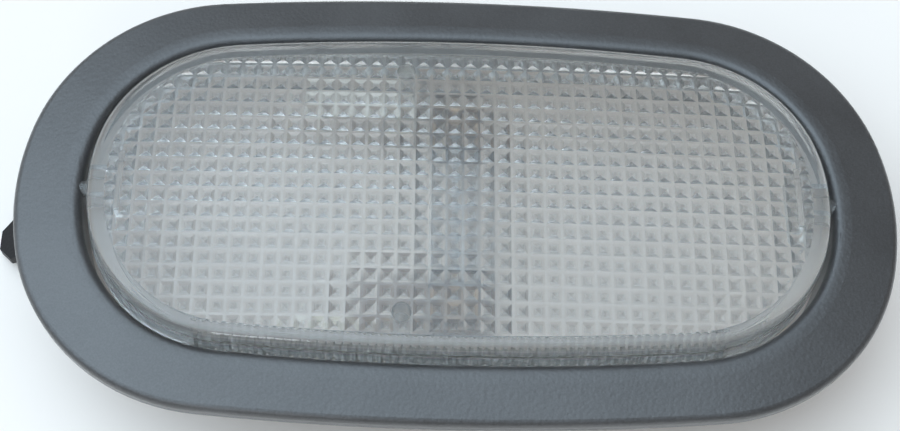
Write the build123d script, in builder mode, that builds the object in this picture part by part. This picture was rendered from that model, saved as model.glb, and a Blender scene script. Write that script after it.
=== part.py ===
from build123d import *
import math
import os
from collections import namedtuple

# Car dome light. The lens faces +Z, X runs along the long side, and z = 0 is the plane
# where the back of the bezel meets the roof lining. All sizes are in millimetres.

# Outlines are ovals: two long side arcs, two end arcs and an easing arc at each corner
Oval = namedtuple("Oval", "length width side_radius end_flatness corner_ease")

# Bezel
bezel_length = 138.0
bezel_width = 73.4
bezel_side_radius = 450.0
bezel_end_flatness = 6.4
bezel_corner_ease = 10.7
bezel_edge_height = 2.4
bezel_edge_radius = 1.2
bezel_wall = 2.0
bezel_face = 1.7
band_at_side = 9.0
band_at_end = 10.65
crest_height = 4.0
crest_inset = 2.3
crest_radius = 6.0
lip_radius = 1.3
collar_wall = 1.6
collar_depth = 4.5
rib_floor = 0.5
rib_thickness = 1.2
rib_pitch = 18.0
rib_rows = 7
rib_columns = 3
lug_place = 30.0
lug_length = 8.0
lug_reach = 0.9
lug_top = -1.8
lug_bottom = -3.8

# Window in the bezel, which the lens, reflector and housing follow
opening_side_radius = 414.0
opening_end_flatness = 6.2
opening_corner_ease = 9.5

# Lens
lens_gap = 0.6
lens_wall = 3.2
lens_apex = 8.3
lens_shoulder = 2.0
lens_skirt_bottom = -1.2
lens_draft = 8.0
lens_rim_radius = 1.6
dome_long_radius = 1250.0
dome_cross_radius = 175.0
prism_pitch = 2.5
prism_cover = 1.5
prism_depth = 0.5
prism_land = 0.4
flute_pitch = 1.25
flute_depth = 0.25
flute_count = 64
flute_top = 4.6

# Lens pivots and the rocking travel
pivot_radius = 1.3
pivot_height = 2.4
pivot_length = 1.3
pivot_clearance = 0.06
bearing_depth = 0.85
bearing_boss_width = 7.0
flex_slot_place = 2.3
flex_slot_width = 0.8
flex_slot_top = 4.4
end_rib_inset = 2.2
end_rib_sheet = 1.0
end_rib_width = 9.8
rock_degrees = 3.5

# Housing
collar_clearance = 0.15
housing_wall = 1.8
housing_ledge = 1.35
housing_floor = 2.0
housing_depth = 16.0
housing_draw = 5.4
back_recess = 2.4
back_edge_radius = 1.2
back_rib_place = 34.0
tongue_width = 7.6
tongue_thickness = 2.0
tongue_rise = 3.0
tongue_run = 8.0
tongue_tip = 5.7
tongue_drop = 3.0
tongue_chamfer = 2.2

# Reflector
reflector_sheet = 1.0
reflector_slip = 0.1
reflector_mouth = 1.0
reflector_draw = 8.0
reflector_clearance = 1.0

# Festoon bulb across the short axis
bulb_rise = 6.0
bulb_radius = 5.0
bulb_glass_wall = 0.6
bulb_glass_half = 12.5
bulb_neck_radius = 3.6
bulb_neck_length = 2.6
cap_radius = 4.2
cap_length = 5.6
cap_tip_radius = 1.2
cap_tip_length = 2.2
cap_clearance = 0.1
filament_radius = 0.5
filament_half = 6.0
lead_radius = 0.25

# Bulb clips, terminals and switch leaves
clip_bite = 0.8
clip_sheet = 0.6
clip_width = 8.0
clip_over = 4.2
tab_width = 6.3
tab_sheet = 0.8
tab_length = 9.5
tab_drop = 1.2
strip_width = 3.0
strip_sheet = 0.5
leaf_root = 24.0
leaf_press = 9.0
leaf_inset = 7.2
leaf_width = 4.6
leaf_sheet = 0.4
leaf_drop = 1.0
leaf_gap = 0.2
leaf_overhang = 1.5
leaf_tip_overhang = 2.4
rivet_radius = 0.8
rivet_head_radius = 1.3
rivet_head = 0.5
button_radius = 1.5
button_height = 0.4
contact_gap = 0.25
post_radius = 1.5
post_gap = 0.3
slot_clearance = 0.2

# Retaining spring at the end away from the tongue
spring_width = 10.0
spring_sheet = 0.5
spring_standoff = 1.6
spring_seat = 1.8
spring_bend_rise = 2.0
spring_reach = 3.5
spring_apex_rise = 8.0
spring_end_rise = 11.4
spring_return = 1.4
spring_radius = 1.2
spring_boss_height = 3.0
spring_boss_wall = 1.3

# Values worked out from the sizes above
bezel_oval = Oval(bezel_length, bezel_width, bezel_side_radius, bezel_end_flatness, bezel_corner_ease)
opening_length = bezel_length - 2 * band_at_end
opening_width = bezel_width - 2 * band_at_side
opening_oval = Oval(
    opening_length, opening_width, opening_side_radius, opening_end_flatness, opening_corner_ease
)
lens_inner = -lens_gap - lens_wall
shell_inner = collar_wall + collar_clearance
shell_outer = shell_inner + housing_wall
shell_end = opening_length / 2 + shell_outer
ledge_level = -collar_depth - reflector_sheet
floor_top = -housing_depth
floor_bottom = floor_top - housing_floor
back_level = floor_bottom - back_recess
tongue_top = floor_bottom + tongue_rise
reflector_depth = housing_depth - collar_depth - reflector_sheet - reflector_clearance
bulb_level = collar_depth + reflector_depth - bulb_rise
cap_start = bulb_glass_half + cap_clearance
cap_end = cap_start + cap_length
clip_place = cap_end + clip_bite
clip_height = housing_depth - bulb_level + clip_over
tab_level = floor_bottom - tab_drop
leaf_line = opening_width / 2 - leaf_inset
leaf_level = collar_depth + leaf_drop
leaf_top = -leaf_level + leaf_sheet / 2
leaf_under = -leaf_level - leaf_sheet / 2
pad_top = leaf_under - leaf_gap
press_travel = leaf_line * math.sin(math.radians(rock_degrees))
fixed_button_top = leaf_under - button_height - press_travel - contact_gap
terminal_top = fixed_button_top - button_height
terminal_leg = leaf_line - leaf_width / 2 - tab_sheet / 2
strip_line = terminal_leg - tab_sheet / 2 - 2 * slot_clearance
spring_line = shell_end + spring_standoff
spring_boss_top = floor_bottom + spring_boss_height


def draw_oval(oval, grow=0.0):
    """Draw the oval in the sketch that is open, grown evenly by the given amount."""
    end_radius = oval.width / 2 + oval.end_flatness
    side_centre = oval.side_radius - oval.width / 2
    end_centre = oval.length / 2 - end_radius
    SlotCenterToCenter(2 * end_centre, 2 * (end_radius + grow))
    for centre in (side_centre, -side_centre):
        with Locations((0, centre)):
            Circle(oval.side_radius + grow, mode=Mode.INTERSECT)
    fillet(vertices(), end_radius - oval.corner_ease + grow)


def side_line(oval, grow, x):
    """Distance of the oval's long side from the X axis at the given x."""
    return oval.width / 2 - oval.side_radius + math.sqrt((oval.side_radius + grow) ** 2 - x**2)


def dome_height(x, y):
    """Height of the lens's outer face above the panel plane."""
    return lens_apex - x**2 / (2 * dome_long_radius) - y**2 / (2 * dome_cross_radius)


def wall_draw(level):
    """How far the housing's wall has drawn in at a level below the reflector's ledge."""
    return housing_draw * (ledge_level - level) / (ledge_level - back_level)


def end_root(level):
    """Distance from the centre at which a form rooted in the housing's end wall starts."""
    return shell_end - wall_draw(level) - housing_wall / 4


def grid_lines(half_span, count):
    """Where lands and prisms meet along one axis, between two border lines outside the lens."""
    border = half_span + 2 * lens_wall
    lines = [-border]
    for k in range(count):
        middle = (k + 0.5 - count / 2) * prism_pitch
        lines.append(middle - (prism_pitch - prism_land) / 2)
        lines.append(middle + (prism_pitch - prism_land) / 2)
    lines.append(border)
    return lines


def prism_block():
    """Solid below the lens's inner face: a grid of flat lands with a downward pyramid in each cell."""
    half_length = opening_length / 2 + lens_inner
    half_width = opening_width / 2 + lens_inner
    across = grid_lines(half_length, 2 * round(half_length / prism_pitch))
    along = grid_lines(half_width, 2 * math.floor(half_width / prism_pitch) + 1)
    base = 2 * lens_skirt_bottom - lens_apex

    def top(x, y, sink=0.0):
        return (x, y, dome_height(x, y) - prism_cover - sink)

    def drop(point):
        return (point[0], point[1], base)

    outlines = []
    for i in range(len(across) - 1):
        for j in range(len(along) - 1):
            left, right = across[i : i + 2]
            near, far = along[j : j + 2]
            ring = [top(left, near), top(right, near), top(right, far), top(left, far)]
            if i % 2 == 0 or j % 2 == 0:
                outlines.append(ring)
                continue
            tip = top((left + right) / 2, (near + far) / 2, prism_depth)
            for k in range(4):
                outlines.append([ring[k], ring[(k + 1) % 4], tip])
    for y in (along[0], along[-1]):
        edge = [top(x, y) for x in across]
        outlines.append(edge + [drop(edge[-1]), drop(edge[0])])
    for x in (across[0], across[-1]):
        edge = [top(x, y) for y in along]
        outlines.append(edge + [drop(edge[-1]), drop(edge[0])])
    bottom = [(across[i], along[j], base) for i, j in ((0, 0), (-1, 0), (-1, -1), (0, -1))]
    outlines.append(bottom)
    return Solid(Shell([Face(Wire.make_polygon(outline)) for outline in outlines]))


os.makedirs("parts", exist_ok=True)

# Hollow under the bezel's face, with its ribs and the pivot bosses left standing
with BuildPart() as bezel_hollow:
    with BuildSketch(Plane.XY):
        draw_oval(bezel_oval, -bezel_wall)
    extrude(amount=bezel_edge_height - bezel_face)
    with BuildSketch(Plane.XY.offset(bezel_edge_height - bezel_face)):
        draw_oval(bezel_oval, -bezel_wall)
    with BuildSketch(Plane.XY.offset(crest_height - bezel_face)):
        draw_oval(opening_oval, crest_inset)
    loft(ruled=True)
    with BuildSketch(Plane.XY):
        draw_oval(opening_oval, collar_wall)
    extrude(amount=crest_height, mode=Mode.SUBTRACT)
    standing = (Align.CENTER, Align.CENTER, Align.MIN)
    with Locations((0, 0, rib_floor)):
        with GridLocations(rib_pitch, 1, rib_rows, 1):
            Box(rib_thickness, bezel_width, crest_height, align=standing, mode=Mode.SUBTRACT)
        with GridLocations(1, rib_pitch, 1, rib_columns):
            Box(bezel_length, rib_thickness, crest_height, align=standing, mode=Mode.SUBTRACT)
        Box(bezel_length, bearing_boss_width, crest_height, align=standing, mode=Mode.SUBTRACT)

# Bezel: upright edge, face that rises to a crest, rolled lip and the collar behind it
with BuildPart() as bezel:
    with BuildSketch(Plane.XY):
        draw_oval(bezel_oval)
    extrude(amount=bezel_edge_height)
    with BuildSketch(Plane.XY.offset(bezel_edge_height)):
        draw_oval(bezel_oval)
    with BuildSketch(Plane.XY.offset(crest_height)):
        draw_oval(opening_oval, crest_inset)
    loft(ruled=True)
    edge_band = edges().filter_by_position(Axis.Z, bezel_face, crest_height - lip_radius)
    fillet(edge_band, bezel_edge_radius)
    add(bezel_hollow.part, mode=Mode.SUBTRACT)
    with BuildSketch(Plane.XY.offset(-collar_depth)):
        draw_oval(opening_oval, collar_wall)
    extrude(amount=collar_depth + bezel_edge_height)
    with BuildSketch(Plane.XY.offset(-collar_depth)):
        draw_oval(opening_oval)
    extrude(amount=2 * collar_depth + crest_height, mode=Mode.SUBTRACT)
    crest = faces().filter_by(Axis.Z).sort_by(Axis.Z)[-1]
    fillet(crest.outer_wire().edges(), crest_radius)
    crest = faces().filter_by(Axis.Z).sort_by(Axis.Z)[-1]
    fillet(crest.inner_wires()[0].edges(), lip_radius)
    for side in (1, -1):
        for x in (-lug_place, lug_place):
            root = side_line(opening_oval, collar_wall, x)
            with BuildSketch(Plane.YZ.offset(x)):
                with BuildLine():
                    Polyline(
                        (side * (root - collar_wall / 2), lug_bottom),
                        (side * root, lug_bottom),
                        (side * (root + lug_reach), lug_top),
                        (side * (root - collar_wall / 2), lug_top),
                        close=True,
                    )
                make_face()
            extrude(amount=lug_length / 2, both=True)
        with BuildSketch(Plane.YZ.offset(side * (opening_length / 2 - lens_gap))):
            with Locations((0, pivot_height)):
                Circle(pivot_radius + pivot_clearance)
        extrude(amount=side * (bearing_depth + lens_gap), mode=Mode.SUBTRACT)
bezel.part.label = "bezel"
export_step(bezel.part, "parts/bezel.step")

# Block with the lens's domed outer face as its top: an arc across, turned about a far axis
with BuildPart() as lens_dome:
    sweep_angle = math.degrees(math.asin(opening_length / 2 / dome_long_radius))
    lean = math.radians(sweep_angle)
    reach = opening_width / 2
    far_axis = Axis((0, 0, lens_apex - dome_long_radius), (0, 1, 0))
    start = Plane(
        origin=far_axis.position, x_dir=(0, 1, 0), z_dir=(math.cos(lean), 0, math.sin(lean))
    )
    with BuildSketch(start):
        with BuildLine():
            crown = dome_long_radius - dome_cross_radius + math.sqrt(dome_cross_radius**2 - reach**2)
            across = ThreePointArc((-reach, crown), (0, dome_long_radius), (reach, crown))
            below = dome_long_radius - 4 * lens_apex
            Polyline(across @ 1, (reach, below), (-reach, below), across @ 0)
        make_face()
    revolve(axis=far_axis, revolution_arc=2 * sweep_angle)

# Cavity of the lens: flutes along the long walls, flex slots and a rib by each pivot, posts and pyramids
with BuildPart() as lens_cavity:
    with BuildSketch(Plane.XY.offset(lens_skirt_bottom)):
        draw_oval(opening_oval, lens_inner)
    extrude(amount=lens_apex - lens_skirt_bottom)
    with BuildSketch(Plane.XY.offset(lens_skirt_bottom)):
        for side in (1, -1):
            for k in range(flute_count):
                x = (k - (flute_count - 1) / 2) * flute_pitch
                wall = side_line(opening_oval, lens_inner, x)
                Polygon(
                    (x - flute_pitch / 2, side * (wall - flute_depth / 3)),
                    (x + flute_pitch / 2, side * (wall - flute_depth / 3)),
                    (x, side * (wall + flute_depth)),
                    align=None,
                )
    extrude(amount=flute_top - lens_skirt_bottom)
    for side in (1, -1):
        inner_end = side * (opening_length / 2 + lens_inner)
        with Locations((inner_end, 0, lens_skirt_bottom)):
            with GridLocations(1, 2 * flex_slot_place, 1, 2):
                Box(4 * lens_wall, flex_slot_width, flex_slot_top - lens_skirt_bottom, align=standing)
        with Locations((inner_end - side * end_rib_inset, 0, 0)):
            Box(end_rib_sheet, end_rib_width, 4 * lens_apex, mode=Mode.SUBTRACT)
        with Locations((-leaf_press, side * leaf_line, 0)):
            Cylinder(post_radius, 4 * lens_apex, mode=Mode.SUBTRACT)
    add(prism_block(), mode=Mode.INTERSECT)

# Lens: straight skirt, drafted upper wall, domed face, pivot nubs and the posts that press the leaves
with BuildPart() as lens:
    with BuildSketch(Plane.XY.offset(lens_skirt_bottom)):
        draw_oval(opening_oval, -lens_gap)
    extrude(amount=lens_shoulder - lens_skirt_bottom)
    with BuildSketch(Plane.XY.offset(lens_shoulder)):
        draw_oval(opening_oval, -lens_gap)
    extrude(amount=lens_apex - lens_shoulder, taper=lens_draft)
    add(lens_dome.part, mode=Mode.INTERSECT)
    rim = [edge for edge in edges() if edge.center().Z > lens_shoulder + lens_rim_radius]
    rim = [edge for edge in rim if edge.bounding_box().size.Z < lens_rim_radius]
    fillet(rim, lens_rim_radius)
    for side in (1, -1):
        with BuildSketch(Plane.YZ.offset(side * (opening_length / 2 - lens_gap - lens_wall / 2))):
            with Locations((0, pivot_height)):
                Circle(pivot_radius)
        extrude(amount=side * (lens_wall / 2 + pivot_length))
        with BuildSketch(Plane.XY.offset(leaf_top + post_gap)):
            with Locations((-leaf_press, side * leaf_line)):
                Circle(post_radius)
        extrude(amount=lens_shoulder - leaf_top - post_gap)
    add(lens_cavity.part, mode=Mode.SUBTRACT)
lens.part.label = "lens"
export_step(lens.part, "parts/lens.step")

# Tongue that slips behind the roof panel, cut to its plan with chamfered corners
with BuildPart() as tongue:
    tongue_end = -shell_end - tongue_run - tongue_tip
    with BuildSketch(Plane.XZ):
        with BuildLine():
            Polyline(
                (-end_root(tongue_top - tongue_thickness), tongue_top),
                (-shell_end - tongue_run, tongue_top),
                (tongue_end, tongue_top - tongue_drop),
                (tongue_end, tongue_top - tongue_drop - tongue_thickness),
                (-shell_end - tongue_run, tongue_top - tongue_thickness),
                (-end_root(tongue_top - tongue_thickness), tongue_top - tongue_thickness),
                close=True,
            )
        make_face()
    extrude(amount=tongue_width / 2, both=True)
    chamfer(edges().filter_by(Axis.Z).group_by(Axis.X)[0], tongue_chamfer)

# Housing: straight mouth over a drawn-in tub, a ledge for the reflector, bosses, slots and a recessed back
with BuildPart() as housing:
    with BuildSketch(Plane.XY.offset(ledge_level)):
        draw_oval(opening_oval, shell_outer)
    extrude(amount=rib_floor - ledge_level)
    with BuildSketch(Plane.XY.offset(ledge_level)):
        draw_oval(opening_oval, shell_outer)
    with BuildSketch(Plane.XY.offset(back_level)):
        draw_oval(opening_oval, shell_outer - housing_draw)
    loft(ruled=True)
    fillet(edges().group_by(Axis.Z)[0], back_edge_radius)
    with BuildSketch(Plane.XY.offset(ledge_level)):
        draw_oval(opening_oval, shell_inner)
    extrude(amount=rib_floor - ledge_level, mode=Mode.SUBTRACT)
    with BuildSketch(Plane.XY.offset(ledge_level)):
        draw_oval(opening_oval, shell_inner - housing_ledge)
    with BuildSketch(Plane.XY.offset(floor_top)):
        draw_oval(opening_oval, shell_inner - wall_draw(floor_top))
    loft(ruled=True, mode=Mode.SUBTRACT)
    with BuildSketch(Plane.XY.offset(floor_bottom)):
        draw_oval(opening_oval, shell_inner - wall_draw(floor_bottom))
    with BuildSketch(Plane.XY.offset(back_level)):
        draw_oval(opening_oval, shell_inner - housing_draw)
    loft(ruled=True, mode=Mode.SUBTRACT)
    hanging = (Align.CENTER, Align.CENTER, Align.MAX)
    with Locations((-back_rib_place, 0, floor_bottom), (back_rib_place, 0, floor_bottom)):
        Box(housing_wall, opening_width - 2 * opening_end_flatness, back_recess, align=hanging)
    add(tongue.part)
    for side in (1, -1):
        for x in (-lug_place, lug_place):
            with Locations((x, side * side_line(opening_oval, shell_inner, x), lug_top + slot_clearance)):
                Box(
                    lug_length + 4 * slot_clearance,
                    4 * housing_wall,
                    lug_top - lug_bottom + 2 * slot_clearance,
                    align=hanging,
                    mode=Mode.SUBTRACT,
                )
        leaf_boss = pad_top - strip_sheet - floor_top
        with Locations((-leaf_root, side * leaf_line, floor_top)):
            Box(strip_width, leaf_width, leaf_boss, align=standing)
        terminal_boss = terminal_top - tab_sheet - floor_top
        with Locations((-leaf_press, side * (leaf_line + tab_sheet / 2), floor_top)):
            Box(tab_width, leaf_width - tab_sheet, terminal_boss, align=standing)
        with Locations((-leaf_press, side * terminal_leg, floor_top)):
            Box(
                tab_width + 2 * slot_clearance,
                tab_sheet + 2 * slot_clearance,
                4 * housing_floor,
                mode=Mode.SUBTRACT,
            )
    with Locations((0, clip_place + clip_sheet / 2, floor_top)):
        Box(
            tab_width + 2 * slot_clearance,
            clip_sheet + 2 * slot_clearance,
            4 * housing_floor,
            mode=Mode.SUBTRACT,
        )
    spring_boss_end = spring_line + spring_sheet / 2 + slot_clearance + spring_boss_wall
    spring_boss_width = spring_width + 2 * slot_clearance + 2 * spring_boss_wall
    with Locations((end_root(floor_bottom), 0, spring_boss_top)):
        Box(
            spring_boss_end - end_root(floor_bottom),
            spring_boss_width,
            spring_boss_height,
            align=(Align.MIN, Align.CENTER, Align.MAX),
        )
    with Locations((spring_line, 0, spring_boss_top)):
        Box(
            spring_sheet + 2 * slot_clearance,
            spring_width + 2 * slot_clearance,
            2 * (spring_seat + slot_clearance),
            mode=Mode.SUBTRACT,
        )
housing.part.label = "housing"
export_step(housing.part, "parts/housing.step")

# Reflector: pressed tray with a flange, and slots where the contacts come through
with BuildPart() as reflector:
    with BuildSketch(Plane.XY.offset(ledge_level)):
        draw_oval(opening_oval, collar_wall - reflector_slip)
    extrude(amount=reflector_sheet)
    for grow, raise_by, how in (
        (reflector_sheet, -reflector_sheet, Mode.ADD),
        (0, 0, Mode.SUBTRACT),
    ):
        with BuildSketch(Plane.XY.offset(-collar_depth + raise_by)):
            draw_oval(opening_oval, -reflector_mouth + grow)
        with BuildSketch(Plane.XY.offset(-collar_depth + raise_by - reflector_depth)):
            draw_oval(opening_oval, -reflector_mouth - reflector_draw + grow)
        loft(ruled=True, mode=how)
    for side in (1, -1):
        with Locations((0, side * (clip_place + clip_sheet / 2), floor_top)):
            Box(
                clip_width + 4 * slot_clearance,
                clip_sheet + 8 * slot_clearance,
                2 * (housing_depth - bulb_level),
                mode=Mode.SUBTRACT,
            )
        with Locations((-leaf_press, side * leaf_line, floor_top)):
            Box(
                tab_width + 4 * slot_clearance,
                leaf_width + 2 * tab_sheet + 4 * slot_clearance,
                2 * (housing_depth - leaf_level) + button_height,
                mode=Mode.SUBTRACT,
            )
        with Locations((-leaf_root, side * leaf_line, floor_top)):
            Box(
                strip_width + 4 * slot_clearance,
                leaf_width + 2 * strip_sheet + 4 * slot_clearance,
                2 * (housing_depth - leaf_level) + button_height,
                mode=Mode.SUBTRACT,
            )
reflector.part.label = "reflector"
export_step(reflector.part, "parts/reflector.step")

# Bulb: drawn glass tube that necks down into a cap at each end
bulb_axis = Axis((0, 0, -bulb_level), (0, 1, 0))
bulb_plane = Plane(origin=(0, 0, -bulb_level), x_dir=(0, 1, 0), z_dir=(1, 0, 0))
glass_end = bulb_glass_half + bulb_neck_length
with BuildPart() as bulb_glass:
    with BuildSketch(bulb_plane):
        with BuildLine():
            Polyline(
                (-glass_end, bulb_neck_radius - bulb_glass_wall),
                (-glass_end, bulb_neck_radius),
                (-bulb_glass_half, bulb_neck_radius),
                (-bulb_glass_half + bulb_radius - bulb_neck_radius, bulb_radius),
                (bulb_glass_half - bulb_radius + bulb_neck_radius, bulb_radius),
                (bulb_glass_half, bulb_neck_radius),
                (glass_end, bulb_neck_radius),
                (glass_end, bulb_neck_radius - bulb_glass_wall),
                (bulb_glass_half - bulb_glass_wall, bulb_neck_radius - bulb_glass_wall),
                (bulb_glass_half - bulb_radius + bulb_neck_radius, bulb_radius - bulb_glass_wall),
                (-bulb_glass_half + bulb_radius - bulb_neck_radius, bulb_radius - bulb_glass_wall),
                (-bulb_glass_half + bulb_glass_wall, bulb_neck_radius - bulb_glass_wall),
                close=True,
            )
        make_face()
    revolve(axis=bulb_axis)
bulb_glass.part.label = "bulb_glass"
export_step(bulb_glass.part, "parts/bulb_glass.step")

for name, side in (("bulb_cap_upper", 1), ("bulb_cap_lower", -1)):
    with BuildPart() as bulb_cap:
        with BuildSketch(bulb_plane):
            with BuildLine():
                Polyline(
                    (side * cap_start, bulb_neck_radius + cap_clearance / 2),
                    (side * cap_start, cap_radius),
                    (side * cap_end, cap_radius),
                    (side * (cap_end + cap_tip_length), cap_tip_radius),
                    (side * (cap_end + cap_tip_length), 0),
                    (side * (glass_end + cap_clearance), 0),
                    (side * (glass_end + cap_clearance), bulb_neck_radius + cap_clearance / 2),
                    close=True,
                )
            make_face()
        revolve(axis=bulb_axis)
    bulb_cap.part.label = name
    export_step(bulb_cap.part, f"parts/{name}.step")

# Filament on the bulb's axis with its two lead wires
with BuildPart() as bulb_filament:
    with BuildSketch(bulb_plane):
        lead_end = glass_end + cap_clearance
        with Locations((0, lead_radius / 2)):
            Rectangle(2 * lead_end, lead_radius)
        with Locations((0, filament_radius / 2)):
            Rectangle(2 * filament_half, filament_radius)
    revolve(axis=bulb_axis)
bulb_filament.part.label = "bulb_filament"
export_step(bulb_filament.part, "parts/bulb_filament.step")

# The blade of a bulb clip stands across the bulb, with a hole that takes the cap's tip
cap_slope = (cap_radius - cap_tip_radius) / cap_tip_length
clip_hole = cap_radius - clip_bite * cap_slope + cap_clearance

# Live contact: upper bulb clip, leg through the floor and the tab behind
with BuildPart() as live_contact:
    with BuildSketch(Plane.XZ.offset(-clip_place)):
        with Locations((0, floor_top)):
            Rectangle(clip_width, clip_height, align=(Align.CENTER, Align.MIN))
        with Locations((0, -bulb_level)):
            Circle(clip_hole, mode=Mode.SUBTRACT)
    extrude(amount=-clip_sheet)
    with BuildSketch(Plane.YZ):
        with BuildLine():
            Polyline(
                (clip_place + clip_sheet / 2, floor_top),
                (clip_place + clip_sheet / 2, tab_level),
                (clip_place - tab_length, tab_level),
            )
        trace(line_width=clip_sheet)
    extrude(amount=tab_width / 2, both=True)
live_contact.part.label = "live_contact"
export_step(live_contact.part, "parts/live_contact.step")

# Return contact: lower bulb clip, and the strip that feeds the roots of both switch leaves
with BuildPart() as return_contact:
    with BuildSketch(Plane.XZ.offset(clip_place)):
        with Locations((0, floor_top)):
            Rectangle(clip_width, clip_height, align=(Align.CENTER, Align.MIN))
        with Locations((0, -bulb_level)):
            Circle(clip_hole, mode=Mode.SUBTRACT)
    extrude(amount=clip_sheet)
    riser = leaf_line - leaf_width / 2
    with BuildSketch(Plane.XY.offset(floor_top)):
        with Locations((0, -clip_place - clip_sheet)):
            foot = clip_place + clip_sheet - strip_line + strip_width
            Rectangle(clip_width, foot, align=(Align.CENTER, Align.MIN))
        with Locations((0, -strip_line)):
            Rectangle(leaf_root + strip_width / 2, strip_width, align=(Align.MAX, Align.MIN))
        with Locations((-leaf_root, 0)):
            Rectangle(strip_width, 2 * riser)
    extrude(amount=strip_sheet)
    for side in (1, -1):
        with BuildSketch(Plane.YZ.offset(-leaf_root)):
            with BuildLine():
                Polyline(
                    (side * (riser - strip_sheet / 2), floor_top),
                    (side * (riser - strip_sheet / 2), pad_top - strip_sheet / 2),
                    (side * (leaf_line + leaf_width / 2), pad_top - strip_sheet / 2),
                )
            trace(line_width=strip_sheet)
        extrude(amount=strip_width / 2, both=True)
return_contact.part.label = "return_contact"
export_step(return_contact.part, "parts/return_contact.step")

# Ground and door terminals: a pad under the leaf's tip, a leg through the floor and the tab behind
for name, side in (("ground_terminal", -1), ("door_terminal", 1)):
    with BuildPart() as terminal:
        with BuildSketch(Plane.YZ.offset(-leaf_press)):
            with BuildLine():
                Polyline(
                    (side * (leaf_line + leaf_width / 2), terminal_top - tab_sheet / 2),
                    (side * terminal_leg, terminal_top - tab_sheet / 2),
                    (side * terminal_leg, tab_level),
                    (side * (terminal_leg - tab_length), tab_level),
                )
            trace(line_width=tab_sheet)
        extrude(amount=tab_width / 2, both=True)
    terminal.part.label = name
    export_step(terminal.part, f"parts/{name}.step")

# Switch leaves, pressed near their tips by the posts of the lens, each with its contact button
leaf_start = -leaf_root - leaf_overhang
leaf_end = -leaf_press + leaf_tip_overhang
for name, side in (("on", -1), ("door", 1)):
    with BuildPart() as leaf:
        with BuildSketch(Plane.XY.offset(leaf_under)):
            with Locations(((leaf_start + leaf_end) / 2, side * leaf_line)):
                RectangleRounded(leaf_end - leaf_start, leaf_width, leaf_overhang / 2)
            with Locations((-leaf_root, side * leaf_line)):
                Circle(rivet_radius + slot_clearance, mode=Mode.SUBTRACT)
        extrude(amount=leaf_sheet)
    leaf.part.label = f"leaf_{name}"
    export_step(leaf.part, f"parts/leaf_{name}.step")
    with BuildPart() as button:
        with BuildSketch(Plane.XY.offset(leaf_under - button_height)):
            with Locations((-leaf_press, side * leaf_line)):
                Circle(button_radius)
        extrude(amount=button_height)
    button.part.label = f"button_{name}"
    export_step(button.part, f"parts/button_{name}.step")

# Buttons fixed on the two terminals
with BuildPart() as fixed_buttons:
    with BuildSketch(Plane.XY.offset(terminal_top)):
        with Locations((-leaf_press, leaf_line), (-leaf_press, -leaf_line)):
            Circle(button_radius)
    extrude(amount=button_height)
fixed_buttons.part.label = "fixed_buttons"
export_step(fixed_buttons.part, "parts/fixed_buttons.step")

# Rivets that hold the roots of the leaves
with BuildPart() as leaf_rivets:
    with BuildSketch(Plane.XY.offset(pad_top)):
        with Locations((-leaf_root, leaf_line), (-leaf_root, -leaf_line)):
            Circle(rivet_radius)
    extrude(amount=leaf_sheet + 2 * leaf_gap)
    with BuildSketch(Plane.XY.offset(leaf_top + leaf_gap)):
        with Locations((-leaf_root, leaf_line), (-leaf_root, -leaf_line)):
            Circle(rivet_head_radius)
    extrude(amount=rivet_head)
leaf_rivets.part.label = "leaf_rivets"
export_step(leaf_rivets.part, "parts/leaf_rivets.step")

# Retaining spring: bent strip that stands in its boss and swells outwards below the bezel
with BuildPart() as retaining_spring:
    with BuildSketch(Plane.XZ):
        with BuildLine():
            FilletPolyline(
                (spring_line, spring_boss_top - spring_seat),
                (spring_line, spring_boss_top + spring_bend_rise),
                (spring_line + spring_reach, spring_boss_top + spring_apex_rise),
                (spring_line + spring_reach - spring_return, spring_boss_top + spring_end_rise),
                radius=spring_radius,
            )
        trace(line_width=spring_sheet)
    extrude(amount=spring_width / 2, both=True)
retaining_spring.part.label = "retaining_spring"
export_step(retaining_spring.part, "parts/retaining_spring.step")
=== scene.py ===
"""Looks of a car dome light: grained bezel, clear prismatic lens, white reflector, bulb and contacts."""

import logging
import math
from dataclasses import dataclass, field
from enum import Enum
from typing import Any, Optional, Union

import bpy
import numpy as np
from mathutils import Matrix, Vector


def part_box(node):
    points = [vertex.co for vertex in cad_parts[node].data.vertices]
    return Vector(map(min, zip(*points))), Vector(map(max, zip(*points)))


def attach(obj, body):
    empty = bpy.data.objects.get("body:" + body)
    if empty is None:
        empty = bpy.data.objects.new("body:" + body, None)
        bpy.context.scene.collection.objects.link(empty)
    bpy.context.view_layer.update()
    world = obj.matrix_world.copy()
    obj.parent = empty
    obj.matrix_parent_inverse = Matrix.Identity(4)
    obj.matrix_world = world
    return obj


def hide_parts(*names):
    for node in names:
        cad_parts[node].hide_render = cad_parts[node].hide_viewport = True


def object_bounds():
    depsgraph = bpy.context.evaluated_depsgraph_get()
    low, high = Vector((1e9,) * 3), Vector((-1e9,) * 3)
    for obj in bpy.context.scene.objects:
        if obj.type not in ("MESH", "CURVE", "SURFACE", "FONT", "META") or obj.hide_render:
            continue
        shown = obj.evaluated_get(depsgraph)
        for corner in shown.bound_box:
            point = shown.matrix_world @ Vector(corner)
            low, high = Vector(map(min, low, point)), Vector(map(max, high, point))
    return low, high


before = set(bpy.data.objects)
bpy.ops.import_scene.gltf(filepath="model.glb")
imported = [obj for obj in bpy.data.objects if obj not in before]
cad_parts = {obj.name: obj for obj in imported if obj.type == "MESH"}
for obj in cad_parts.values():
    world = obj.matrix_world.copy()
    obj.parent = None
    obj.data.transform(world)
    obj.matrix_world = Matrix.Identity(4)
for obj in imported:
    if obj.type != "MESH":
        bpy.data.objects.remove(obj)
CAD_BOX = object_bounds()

MM = 0.001
NOISE_MIDDLE = 0.5
LOG = logging.getLogger("dome_light")
Colour = tuple[float, float, float]
Triple = tuple[float, float, float]
Pair = tuple[float, float]
Operand = Union["Value", float]


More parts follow.
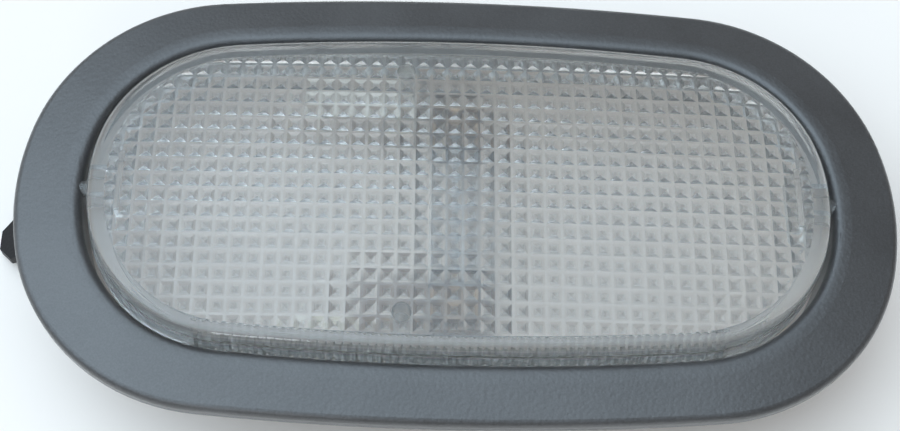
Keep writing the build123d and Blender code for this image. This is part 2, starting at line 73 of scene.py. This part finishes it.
class Value:
    """A shader socket that takes part in Python arithmetic, one Math node for each step."""

    def __init__(self, tree: "ShaderTree", socket: Optional[bpy.types.NodeSocket]) -> None:
        """Wrap one output socket.

        Args:
            tree: The tree that the socket belongs to.
            socket: The output socket, or None for a node that closes the tree.
        """
        self.tree = tree
        self.socket = socket

    def _math(self, operation: str, first: Operand, second: Operand) -> "Value":
        """One Math node on two operands."""
        return self.tree.node("ShaderNodeMath", {"operation": operation}, {0: first, 1: second})

    def __add__(self, other: Operand) -> "Value":
        """Sum."""
        return self._math("ADD", self, other)

    def __radd__(self, other: float) -> "Value":
        """Sum with a number in front."""
        return self._math("ADD", other, self)

    def __sub__(self, other: Operand) -> "Value":
        """Difference."""
        return self._math("SUBTRACT", self, other)

    def __rsub__(self, other: float) -> "Value":
        """Difference from a number."""
        return self._math("SUBTRACT", other, self)

    def __mul__(self, other: Operand) -> "Value":
        """Product."""
        return self._math("MULTIPLY", self, other)

    def __rmul__(self, other: float) -> "Value":
        """Product with a number in front."""
        return self._math("MULTIPLY", other, self)

    def __truediv__(self, other: Operand) -> "Value":
        """Quotient."""
        return self._math("DIVIDE", self, other)

    def __rtruediv__(self, other: float) -> "Value":
        """Quotient of a number."""
        return self._math("DIVIDE", other, self)

    def __pow__(self, other: Operand) -> "Value":
        """Power."""
        return self._math("POWER", self, other)

    def at_least(self, low: float) -> "Value":
        """The value, or low where the value is smaller."""
        return self._math("MAXIMUM", self, low)

    def magnitude(self) -> "Value":
        """Distance from zero."""
        return (self * self) ** 0.5

    def hypot(self, other: "Value") -> "Value":
        """Length of the slanted side of a right triangle on both values."""
        return (self * self + other * other) ** 0.5

    def between(self, low: float, high: float) -> "Value":
        """Straight run from low, where the value is 0, to high, where it is 1."""
        return low + self * (high - low)

    def swing(self, spread: float) -> "Value":
        """Noise moved to swing about 0, as wide as the spread."""
        return (self - NOISE_MIDDLE) * spread

    def ease(self, low: float, high: float) -> "Value":
        """Smooth step: 0 at low, 1 at high.

        Args:
            low: Value that maps to 0.
            high: Value that maps to 1.

        Returns:
            The eased value.
        """
        settings = {"interpolation_type": "SMOOTHSTEP"}
        sockets = {"Value": self, "From Min": low, "From Max": high}
        return self.tree.node("ShaderNodeMapRange", settings, sockets)


@dataclass(frozen=True)
class Noise:
    """A noise pattern: size of a blotch in metres, octaves of finer noise, and fineness along each axis."""

    size: float
    octaves: float
    stretch: Triple = (1.0, 1.0, 1.0)


class ShaderTree:
    """Node tree of a material or of the sky, with one method that makes every kind of node."""

    def __init__(self, name: str, sky: bool = False) -> None:
        """Start an empty tree.

        Args:
            name: Name of the material or sky.
            sky: True for the sky, False for a material.
        """
        self.owner = (bpy.data.worlds if sky else bpy.data.materials).new(name)
        self.owner.use_nodes = True
        self.owner.node_tree.nodes.clear()

    def node(
        self,
        kind: str,
        settings: Optional[dict[str, Any]] = None,
        sockets: Optional[dict[Union[str, int], Any]] = None,
        output: Union[str, int] = 0,
    ) -> Value:
        """Make a node, set it up and link it.

        Args:
            kind: Blender's name for the node's type.
            settings: Properties that are set before the sockets.
            sockets: Values or links of the input sockets, by name or number.
            output: The output socket that is returned.

        Returns:
            The chosen output, ready for arithmetic.
        """
        made = self.owner.node_tree.nodes.new(kind)
        for key, setting in (settings or {}).items():
            setattr(made, key, setting)
        for key, given in (sockets or {}).items():
            socket = made.inputs[key]
            if isinstance(given, Value):
                self.owner.node_tree.links.new(given.socket, socket)
            elif socket.type == "RGBA":
                socket.default_value = (*given, 1.0)
            else:
                socket.default_value = given
        return Value(self, made.outputs[output] if made.outputs else None)

    def place(self) -> Value:
        """Object coordinates, in metres."""
        return self.node("ShaderNodeTexCoord", output="Object")

    def axis(self, name: str) -> Value:
        """One object coordinate, in metres."""
        return self.node("ShaderNodeSeparateXYZ", None, {"Vector": self.place()}, output=name)

    def noise(self, pattern: Noise) -> Value:
        """Fractal noise from 0 to 1 on object coordinates.

        Args:
            pattern: Its size, octaves and stretch.

        Returns:
            The noise value.
        """
        scaled = self.node("ShaderNodeMapping", None, {"Vector": self.place(), "Scale": pattern.stretch})
        sockets = {"Vector": scaled, "Scale": 1.0 / pattern.size, "Detail": pattern.octaves}
        return self.node("ShaderNodeTexNoise", None, sockets)

    def cells(self, size: float) -> Value:
        """Distance to the nearest of scattered points, for moulded grain.

        Args:
            size: Mean distance between points, in metres.

        Returns:
            The distance, about 0 to 1.
        """
        sockets = {"Vector": self.place(), "Scale": 1.0 / size}
        return self.node("ShaderNodeTexVoronoi", {"feature": "SMOOTH_F1"}, sockets)

    def mix(self, share: Operand, low: Union[Value, Colour], high: Union[Value, Colour]) -> Value:
        """Blend two colours.

        Args:
            share: Share of the second colour.
            low: First colour.
            high: Second colour.

        Returns:
            The blended colour.
        """
        sockets = {"Factor": share, 6: low, 7: high}
        return self.node("ShaderNodeMix", {"data_type": "RGBA"}, sockets, output=2)

    def bump(self, height: Value, depth: float) -> Value:
        """Surface normal of a height field.

        Args:
            height: The height, from 0 to 1.
            depth: What a height of 1 stands for, in metres.

        Returns:
            The bumped normal.
        """
        return self.node("ShaderNodeBump", None, {"Height": height, "Distance": depth, "Strength": 1.0})

    def shader(self, **sockets: Any) -> Value:
        """Make a Principled shader.

        Args:
            **sockets: Inputs of the shader, with underscores for blanks.

        Returns:
            The shader.
        """
        named = {key.replace("_", " "): given for key, given in sockets.items()}
        return self.node("ShaderNodeBsdfPrincipled", None, named)

    def close(self, shader: Value) -> bpy.types.Material:
        """Close the tree with a shader.

        Args:
            shader: The shader that the surface shows.

        Returns:
            The finished material.
        """
        self.node("ShaderNodeOutputMaterial", None, {"Surface": shader})
        return self.owner

    def surface(self, **sockets: Any) -> bpy.types.Material:
        """Close the tree with one Principled shader, given by its inputs."""
        return self.close(self.shader(**sockets))


@dataclass(frozen=True)
class GrainedPlastic:
    """Matte moulded plastic with an eroded grain, used for the bezel and the housing."""

    name: str
    dark: Colour
    light: Colour
    roughness: float
    index: float = 1.58
    sheen: float = 0.0
    grain: float = 0.55 * MM
    grain_depth: float = 0.08 * MM
    grain_share: float = 0.65
    fine: Noise = Noise(0.275 * MM, 3.0)
    mottle: Noise = Noise(14 * MM, 4.0)
    mottle_share: float = 0.45
    colour_edges: Pair = (0.3, 0.7)
    mottle_gloss: float = 0.12
    grain_gloss: float = 0.1

    def grain_nodes(self, tree: ShaderTree) -> tuple[Value, Value, Value]:
        """Nodes of the eroded surface: two sizes of grain and a faint mottling.

        Args:
            tree: The tree that takes the nodes.

        Returns:
            The coarse grain, the share of the light colour and the bumped normal.
        """
        grain = tree.cells(self.grain)
        fine = tree.noise(self.fine)
        share = tree.noise(self.mottle) * self.mottle_share + fine * (1 - self.mottle_share)
        height = grain * self.grain_share + fine * (1 - self.grain_share)
        return grain, share, tree.bump(height, self.grain_depth)

    def material(self) -> bpy.types.Material:
        """Build the material: grain in the bump, mottling in the colour, both in the gloss.

        Returns:
            The finished material.
        """
        tree = ShaderTree(self.name)
        grain, share, normal = self.grain_nodes(tree)
        return tree.surface(
            Base_Color=tree.mix(share.ease(*self.colour_edges), self.dark, self.light),
            Roughness=self.roughness + share.swing(self.mottle_gloss) + grain.swing(self.grain_gloss),
            Normal=normal,
            IOR=self.index,
            Coat_Weight=self.sheen,
            Coat_Roughness=self.roughness,
        )


@dataclass(frozen=True)
class ClearMoulding:
    """Clear acrylic, polished outside, hazy prisms with grey painted shade on their facets, and a frosted
    foot.
    """

    name: str = "clear_lens"
    tint: Colour = (0.965, 0.965, 0.95)
    index: float = 1.49
    clarity: float = 0.95
    apex: float = 8.3 * MM
    long_radius: float = 1250 * MM
    cross_radius: float = 175 * MM
    land_depth: float = 1.5 * MM
    tip_depth: float = 2.0 * MM
    tip_margin: float = 0.1 * MM
    tip_fade: float = 0.2 * MM
    # Painted shade: a grey tint, in patches, that darkens the prism facets towards their tips.
    film_and_shade: Colour = (0.62, 0.60, 0.575)
    film_and_shade_patches: Noise = Noise(7 * MM, 3.0)
    film_and_shade_range: Pair = (0.7, 1.3)
    polish: float = 0.03
    handling: Noise = Noise(9 * MM, 5.0)
    handling_gloss: float = 0.03
    haze_depths: Pair = (0.4 * MM, 1.2 * MM)
    prism_haze: float = 0.12
    facet_haze: float = 0.2
    ripple: Noise = Noise(5 * MM, 1.0)
    ripple_depth: float = 0.01 * MM
    milk: Colour = (0.80, 0.83, 0.82)
    milk_share: float = 0.18
    milk_gloss: Pair = (0.3, 0.4)
    foot: float = 0.6 * MM
    foot_fade: float = 1 * MM

    def material(self) -> bpy.types.Material:
        """Build the material: haze and painted shade follow the depth below the domed outer face, frost the
        height.

        The haze starts above the prisms, and grows on their facets. The painted shade, a grey tint that
        darkens the facets, eases in from the lands to the tips and ends there. The frost is on the foot of
        the skirt and the posts.

        Returns:
            The finished material.
        """
        tree = ShaderTree(self.name)
        x, y, z = tree.axis("X"), tree.axis("Y"), tree.axis("Z")
        depth = self.apex - z - x * x / (2 * self.long_radius) - y * y / (2 * self.cross_radius)
        inner = depth.ease(*self.haze_depths)
        shade_end = self.tip_depth + self.tip_margin
        below = depth.ease(shade_end, shade_end + self.tip_fade)
        tips = depth.ease(self.land_depth, self.tip_depth) * (1 - below)
        # Painted shade on the prism facets, from the lands to the tips, in patches.
        film_and_shade = tips * tree.noise(self.film_and_shade_patches).between(*self.film_and_shade_range)
        handling = tree.noise(self.handling)
        clear = tree.shader(
            Base_Color=tree.mix(film_and_shade, self.tint, self.film_and_shade),
            Roughness=self.polish
            + handling * self.handling_gloss
            + inner * self.prism_haze
            + tips * self.facet_haze,
            Normal=tree.bump(tree.noise(self.ripple), self.ripple_depth),
            IOR=self.index,
            Transmission_Weight=self.clarity,
        )
        milky = tree.shader(
            Base_Color=self.milk,
            Roughness=handling.between(*self.milk_gloss),
            IOR=self.index,
        )
        frost = (1 - z.ease(self.foot - self.foot_fade, self.foot)) * self.milk_share
        return tree.close(tree.node("ShaderNodeMixShader", None, {0: frost, 1: clear, 2: milky}))


@dataclass(frozen=True)
class PaintedShell:
    """Black moulded shell whose inside is sprayed pale to throw the light forward."""

    shell: GrainedPlastic
    paint: Colour = (0.77, 0.68, 0.61)
    floor: float = -16.2 * MM
    floor_edge: float = 0.15 * MM
    half_straight: float = 20 * MM
    round_end: float = 24 * MM
    edge: float = 0.6 * MM
    mask_place: Pair = (-6 * MM, -17 * MM)
    mask_radius: float = 11 * MM

    def material(self) -> bpy.types.Material:
        """Build the material: the shell's own grain, painted above the floor and inside the walls.

        The paint ends at a fixed distance from a straight line along X, which gives it round ends. A
        round patch about the ground terminal is left without paint.

        Returns:
            The finished material.
        """
        tree = ShaderTree(self.shell.name)
        x, y, z = tree.axis("X"), tree.axis("Y"), tree.axis("Z")
        beyond = (x.magnitude() - self.half_straight).at_least(0.0)
        outside = beyond.hypot(y).ease(self.round_end - self.edge, self.round_end)
        off_mask = (x - self.mask_place[0]).hypot(y - self.mask_place[1])
        unmasked = off_mask.ease(self.mask_radius - self.edge, self.mask_radius)
        above = z.ease(self.floor, self.floor + self.floor_edge)
        grain, mottle, normal = self.shell.grain_nodes(tree)
        moulded = tree.mix(mottle, self.shell.dark, self.shell.light)
        return tree.surface(
            Base_Color=tree.mix((1 - outside) * above * unmasked, moulded, self.paint),
            Roughness=self.shell.roughness + grain.swing(self.shell.grain_gloss),
            Normal=normal,
            IOR=self.shell.index,
        )


@dataclass(frozen=True)
class DarkPatch:
    """Oblong dark brown patch on the reflector, under the bulb's lower end."""

    centre: Pair
    half: Pair
    edge: float = 2.5 * MM

    def share(self, tree: ShaderTree) -> Value:
        """Strength of the patch: 1 inside the oblong, eased to 0 across its edge.

        Args:
            tree: The tree that takes the nodes.

        Returns:
            The strength.
        """
        off_x = (tree.axis("X") - self.centre[0]).magnitude()
        off_y = (tree.axis("Y") - self.centre[1]).magnitude()
        past_x = off_x.ease(self.half[0] - self.edge, self.half[0])
        past_y = off_y.ease(self.half[1] - self.edge, self.half[1])
        return (1 - past_x) * (1 - past_y)


@dataclass(frozen=True)
class WhiteMoulding:
    """White reflector that has yellowed a little over the bulb's heat, with a dark brown patch under the
    bulb's lower end.
    """

    name: str = "white_reflector"
    fresh: Colour = (0.77, 0.68, 0.61)
    warmed: Colour = (0.73, 0.61, 0.50)
    warm_reach: float = 26 * MM
    warm_range: Pair = (0.35, 0.75)
    # Dark brown patch under the bulb's lower end: its colour, strength range and place.
    patch_colour: Colour = (0.15, 0.075, 0.035)
    patch_range: Pair = (0.45, 1.05)
    dark_patch: DarkPatch = DarkPatch(centre=(-5.5 * MM, -12 * MM), half=(13 * MM, 7 * MM))
    dust: Noise = Noise(3 * MM, 6.0)
    gloss_range: Pair = (0.38, 0.58)
    pores: Noise = Noise(0.6 * MM, 3.0)
    pore_depth: float = 0.008 * MM

    def material(self) -> bpy.types.Material:
        """Build the material: warm blotch round the bulb, dark brown patch, faint dust, soft sheen.

        Returns:
            The finished material.
        """
        tree = ShaderTree(self.name)
        dust = tree.noise(self.dust)
        warmth = (1 - tree.axis("X").magnitude() / self.warm_reach).ease(0.0, 1.0)
        yellowed = tree.mix(warmth * dust.between(*self.warm_range), self.fresh, self.warmed)
        # Dark brown patch under the bulb's lower end, mottled by the dust.
        patch = self.dark_patch.share(tree) * dust.between(*self.patch_range)
        return tree.surface(
            Base_Color=tree.mix(patch, yellowed, self.patch_colour),
            Roughness=dust.between(*self.gloss_range),
            Normal=tree.bump(tree.noise(self.pores), self.pore_depth),
        )


@dataclass(frozen=True)
class SheetMetal:
    """Rolled or plated metal with rolling lines, tarnish, and darker near the bulb's heat."""

    name: str
    bright: Colour
    dull: Colour
    roughness: float
    grain_along: Triple
    heat_reach: float = 0.0
    heat_edge: float = 4 * MM
    heat_floor: float = -15.5 * MM
    heat_floor_edge: float = 1 * MM
    burnt: Colour = (0.19, 0.115, 0.065)
    burnt_range: Pair = (0.75, 1.0)
    tarnish: Noise = Noise(4 * MM, 5.0)
    tarnish_edges: Pair = (0.35, 0.75)
    tarnish_gloss: float = 0.18
    line_size: float = 0.9 * MM
    line_octaves: float = 3.0
    line_gloss: float = 0.15
    line_depth: float = 0.006 * MM

    def heat(self, tree: ShaderTree) -> Value:
        """Where the metal is hot: near the bulb's middle plane and above the housing's floor.

        Args:
            tree: The tree that takes the nodes.

        Returns:
            The share of the heat, from 0 to 1.
        """
        cool = tree.axis("X").magnitude().ease(self.heat_reach, self.heat_reach + self.heat_edge)
        inside = tree.axis("Z").ease(self.heat_floor, self.heat_floor + self.heat_floor_edge)
        return (1 - cool) * inside

    def material(self) -> bpy.types.Material:
        """Build the material: tarnish and heat stain in the colour, drawn-out lines in gloss and bump.

        Returns:
            The finished material.
        """
        tree = ShaderTree(self.name)
        tarnish = tree.noise(self.tarnish).ease(*self.tarnish_edges)
        lines = tree.noise(Noise(self.line_size, self.line_octaves, self.grain_along))
        colour = tree.mix(tarnish, self.bright, self.dull)
        if self.heat_reach:
            colour = tree.mix(self.heat(tree) * tarnish.between(*self.burnt_range), colour, self.burnt)
        return tree.surface(
            Base_Color=colour,
            Metallic=1.0,
            Roughness=self.roughness + tarnish * self.tarnish_gloss + lines.swing(self.line_gloss),
            Normal=tree.bump(lines, self.line_depth),
        )


@dataclass(frozen=True)
class BlownGlass:
    """Bulb glass with a grey film where metal has settled."""

    name: str = "bulb_glass"
    clear: Colour = (0.99, 0.99, 0.99)
    index: float = 1.5
    film_and_shade: Colour = (0.86, 0.86, 0.85)
    film_reach: Pair = (6 * MM, 14 * MM)
    film_and_shade_patches: Noise = Noise(3 * MM, 3.0)
    film_and_shade_range: Pair = (0.4, 1.0)
    film_haze: float = 0.05

    def material(self) -> bpy.types.Material:
        """Build the material: clear glass, with the film heavier towards the bulb's ends.

        Returns:
            The finished material.
        """
        tree = ShaderTree(self.name)
        ends = tree.axis("Y").magnitude().ease(*self.film_reach)
        film_and_shade = ends * tree.noise(self.film_and_shade_patches).between(*self.film_and_shade_range)
        return tree.surface(
            Base_Color=tree.mix(film_and_shade, self.clear, self.film_and_shade),
            Roughness=film_and_shade * self.film_haze,
            IOR=self.index,
            Transmission_Weight=1.0,
        )


class Metal(Enum):
    """The metals in the lamp."""

    BRASS = SheetMetal(
        name="spring_brass",
        bright=(0.62, 0.56, 0.46),
        dull=(0.50, 0.44, 0.35),
        roughness=0.46,
        grain_along=(0.15, 1.0, 1.0),
        heat_reach=15 * MM,
    )
    TINNED = SheetMetal(
        name="tinned_brass",
        bright=(0.86, 0.81, 0.74),
        dull=(0.78, 0.72, 0.64),
        roughness=0.55,
        grain_along=(0.15, 1.0, 1.0),
        heat_reach=5 * MM,
    )
    STEEL = SheetMetal(
        name="spring_steel",
        bright=(0.56, 0.57, 0.58),
        dull=(0.30, 0.29, 0.29),
        roughness=0.30,
        grain_along=(1.0, 0.12, 1.0),
    )
    NICKEL = SheetMetal(
        name="plated_cap",
        bright=(0.30, 0.21, 0.14),
        dull=(0.16, 0.11, 0.075),
        roughness=0.42,
        grain_along=(1.0, 0.2, 1.0),
    )
    TUNGSTEN = SheetMetal(
        name="tungsten",
        bright=(0.34, 0.34, 0.36),
        dull=(0.20, 0.20, 0.21),
        roughness=0.45,
        grain_along=(1.0, 0.2, 1.0),
    )


class Plastic(Enum):
    """The moulded plastics in the lamp."""

    BEZEL = GrainedPlastic(
        name="bezel_plastic",
        dark=(0.028, 0.028, 0.029),
        light=(0.056, 0.056, 0.057),
        roughness=0.42,
        sheen=0.8,
    )
    HOUSING = GrainedPlastic(
        name="black_plastic",
        dark=(0.009, 0.008, 0.008),
        light=(0.019, 0.016, 0.016),
        roughness=0.50,
        index=1.36,
    )


def dress(name: str, material: bpy.types.Material) -> None:
    """Give a CAD node its material.

    Args:
        name: The node's name.
        material: The finish.
    """
    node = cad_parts[name]
    node.data.materials.clear()
    node.data.materials.append(material)
    LOG.info("dressed %s in %s", name, material.name)


def grid_mesh(name: str, points: np.ndarray, around: bool = False) -> bpy.types.Object:
    """Smooth mesh of quads over a grid of points.

    Args:
        name: The object's name.
        points: Array of rows by columns by three, in metres.
        around: True if the columns close on themselves.

    Returns:
        The new object, linked to the scene.
    """
    rows, columns = points.shape[:2]
    index = np.arange(rows * columns).reshape(rows, columns)
    ahead = np.roll(index, -1, axis=1) if around else index[:, 1:]
    here = index if around else index[:, :-1]
    quads = np.stack([here[:-1], ahead[:-1], ahead[1:], here[1:]], axis=-1).reshape(-1, 4)
    mesh = bpy.data.meshes.new(name)
    mesh.from_pydata(points.reshape(-1, 3).tolist(), [], quads.tolist())
    mesh.polygons.foreach_set("use_smooth", np.full(len(quads), True))
    mesh.update()
    made = bpy.data.objects.new(name, mesh)
    bpy.context.scene.collection.objects.link(made)
    return made


@dataclass
class Bezel:
    """Grey ring that frames the lens."""

    finish: GrainedPlastic = Plastic.BEZEL.value

    def build(self) -> None:
        """Dress the ring."""
        dress("bezel", self.finish.material())


@dataclass
class Lens:
    """Clear rocking lens with prisms on its inner face."""

    finish: ClearMoulding = field(default_factory=ClearMoulding)

    def build(self) -> None:
        """Dress the lens."""
        dress("lens", self.finish.material())


@dataclass
class Body:
    """Black housing and the white reflector that sits in it."""

    shell: PaintedShell = PaintedShell(Plastic.HOUSING.value)
    tray: WhiteMoulding = field(default_factory=WhiteMoulding)

    def build(self) -> None:
        """Dress both mouldings."""
        dress("housing", self.shell.material())
        dress("reflector", self.tray.material())


@dataclass
class Bulb:
    """Festoon bulb across the lamp's middle."""

    glass: BlownGlass = field(default_factory=BlownGlass)
    coil_half: float = 6.0 * MM
    coil_turns: int = 26
    coil_radius: float = 0.40 * MM
    wire_radius: float = 0.09 * MM
    lead_radius: float = 0.22 * MM
    lead_share: float = 0.12
    steps: int = 1300
    sides: int = 8

    def build(self) -> None:
        """Dress the glass and the caps, and wind the filament."""
        dress("bulb_glass", self.glass.material())
        cap = Metal.NICKEL.value.material()
        dress("bulb_cap_upper", cap)
        dress("bulb_cap_lower", cap)
        self.wind_filament()

    def wind_filament(self) -> None:
        """Coiled wire with a straight lead at each end, in place of the plain CAD rod.

        The path runs along Y. Its distance from the axis eases from 0 on the leads to the coil's
        radius, and its angle grows evenly over the coil. A circle is carried along the path, in the
        plane of the path's normal and binormal; its radius eases from the lead's to the wire's, and
        is 0 at both ends, which closes them.
        """
        low, high = (np.array(corner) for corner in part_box("bulb_filament"))
        centre = (low + high) / 2
        reach = (high[1] - low[1]) / 2
        along = np.linspace(-1.0, 1.0, self.steps)
        lead = np.clip((np.abs(along) - 1.0 + self.lead_share) / self.lead_share, 0.0, 1.0)
        inner = np.clip(along / (1.0 - self.lead_share), -1.0, 1.0)
        y = inner * self.coil_half + np.sign(along) * lead * (reach - self.coil_half)
        grown = np.clip((1.0 - np.abs(inner)) * self.coil_turns / 2, 0.0, 1.0)
        grown = grown * grown * (3.0 - 2.0 * grown)
        angle = inner * math.pi * self.coil_turns
        outward = np.stack([np.cos(angle), np.zeros_like(angle), np.sin(angle)], axis=-1)
        path = outward * (grown * self.coil_radius)[:, None]
        path[:, 1] = y
        tangent = np.gradient(path, axis=0)
        tangent /= np.linalg.norm(tangent, axis=1, keepdims=True)
        normal = np.cross(tangent, outward)
        normal /= np.linalg.norm(normal, axis=1, keepdims=True)
        binormal = np.cross(tangent, normal)
        thick = self.lead_radius + (self.wire_radius - self.lead_radius) * grown
        thick[[0, -1]] = 0.0
        turn = np.linspace(0.0, 2.0 * math.pi, self.sides, endpoint=False)[None, :, None]
        ring = normal[:, None] * np.cos(turn) + binormal[:, None] * np.sin(turn)
        wire = grid_mesh("coiled_filament", centre + path[:, None] + ring * thick[:, None, None], around=True)
        wire.data.materials.append(Metal.TUNGSTEN.value.material())
        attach(wire, "base")
        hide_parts("bulb_filament")
        LOG.info("wound %s", wire.name)


@dataclass
class Contacts:
    """Clips, terminals, switch leaves and the retaining spring."""

    bare_nodes: tuple[str, ...] = ("live_contact", "ground_terminal", "leaf_on", "button_on")
    tinned_nodes: tuple[str, ...] = (
        "return_contact",
        "door_terminal",
        "leaf_door",
        "button_door",
        "fixed_buttons",
        "leaf_rivets",
    )

    def build(self) -> None:
        """Dress the bare and the tinned brass, and the steel spring."""
        for names, metal in ((self.bare_nodes, Metal.BRASS), (self.tinned_nodes, Metal.TINNED)):
            finish = metal.value.material()
            for name in names:
                dress(name, finish)
        dress("retaining_spring", Metal.STEEL.value.material())


@dataclass(frozen=True)
class SoftLamp:
    """Square area lamp that faces the object."""

    name: str
    place: Triple
    size: float
    power: float
    colour: Colour

    def build(self) -> None:
        """Hang the lamp at its place, turned to the origin."""
        lamp = bpy.data.lights.new(self.name, "AREA")
        lamp.size = self.size
        lamp.energy = self.power
        lamp.color = self.colour
        hung = bpy.data.objects.new(self.name, lamp)
        hung.location = self.place
        hung.rotation_euler = (-Vector(self.place)).to_track_quat("-Z", "Y").to_euler()
        bpy.context.scene.collection.objects.link(hung)


@dataclass
class Studio:
    """Pale floor, soft light and the camera at the photograph's angle."""

    floor_half: float = 1.6
    floor_points: int = 9
    floor_drop: float = 0.05 * MM
    floor_colour: Colour = (0.96, 0.88, 0.81)
    floor_shade: float = 0.97
    floor_cloud: Noise = Noise(50 * MM, 3.0)
    floor_roughness: float = 0.7
    room: Colour = (0.262, 0.238, 0.220)
    window: Colour = (2.30, 2.80, 3.24)
    window_side: Triple = (-0.40, 0.05, 0.915)
    window_edge: float = 0.56
    strip: SoftLamp = SoftLamp(
        name="front_strip",
        place=(-0.10, -0.30, 0.18),
        size=0.07,
        power=0.10,
        colour=(0.92, 0.96, 1.0),
    )
    aim: Triple = (-1.634 * MM, -1.828 * MM, 0.0)
    distance: float = 228.94 * MM
    azimuth: float = -5.750
    elevation: float = 64.593
    roll: float = 6.670
    focal_length: float = 58.312
    sensor: float = 36.0
    near_clip: float = 1 * MM

    def build(self) -> None:
        """Make the floor, the light and the camera."""
        self.make_floor()
        self.make_light()
        self.make_camera()

    def make_floor(self) -> None:
        """Flat sheet just under the lamp's back: x and y run over a square, z stays put."""
        run = np.linspace(-self.floor_half, self.floor_half, self.floor_points)
        x, y = np.meshgrid(run, run)
        points = np.stack([x, y, np.full_like(x, CAD_BOX[0].z - self.floor_drop)], axis=-1)
        floor = grid_mesh("floor", points)
        tree = ShaderTree("pale_floor")
        shade = tuple(self.floor_shade * part for part in self.floor_colour)
        colour = tree.mix(tree.noise(self.floor_cloud), shade, self.floor_colour)
        floor.data.materials.append(tree.surface(Base_Color=colour, Roughness=self.floor_roughness))

    def make_light(self) -> None:
        """Even room light that swells to a soft window high on the left, and a strip in front for the rim.

        The light from a direction eases from the room's to the window's with the cosine of its angle
        to the window's side.
        """
        tree = ShaderTree("sky", sky=True)
        facing = {0: tree.node("ShaderNodeTexCoord", output="Generated"), 1: self.window_side}
        cosine = tree.node("ShaderNodeVectorMath", {"operation": "DOT_PRODUCT"}, facing, output="Value")
        colour = tree.mix(cosine.ease(self.window_edge, 1.0), self.room, self.window)
        light = tree.node("ShaderNodeBackground", None, {"Color": colour})
        tree.node("ShaderNodeOutputWorld", None, {"Surface": light})
        bpy.context.scene.world = tree.owner
        self.strip.build()

    def make_camera(self) -> None:
        """Camera on a sphere about its aim: azimuth and elevation set the place, roll turns the picture."""
        turn = math.radians(self.azimuth)
        rise = math.radians(self.elevation)
        back = Vector((math.sin(turn) * math.cos(rise), -math.cos(turn) * math.cos(rise), math.sin(rise)))
        facing = (-back).to_track_quat("-Z", "Y").to_matrix().to_4x4()
        rolled = facing @ Matrix.Rotation(math.radians(self.roll), 4, "Z")
        data = bpy.data.cameras.new("camera")
        data.lens = self.focal_length
        data.sensor_width = self.sensor
        data.clip_start = self.near_clip
        camera = bpy.data.objects.new("camera", data)
        camera.matrix_world = Matrix.Translation(Vector(self.aim) + back * self.distance) @ rolled
        bpy.context.scene.collection.objects.link(camera)
        bpy.context.scene.camera = camera
        bpy.context.scene.view_settings.view_transform = "Standard"


def main() -> None:
    """Build every sub-assembly, then the studio."""
    logging.basicConfig(level=logging.INFO, format="%(name)s: %(message)s")
    for part in (Bezel(), Lens(), Body(), Bulb(), Contacts(), Studio()):
        part.build()


if __name__ == "__main__":
    main()
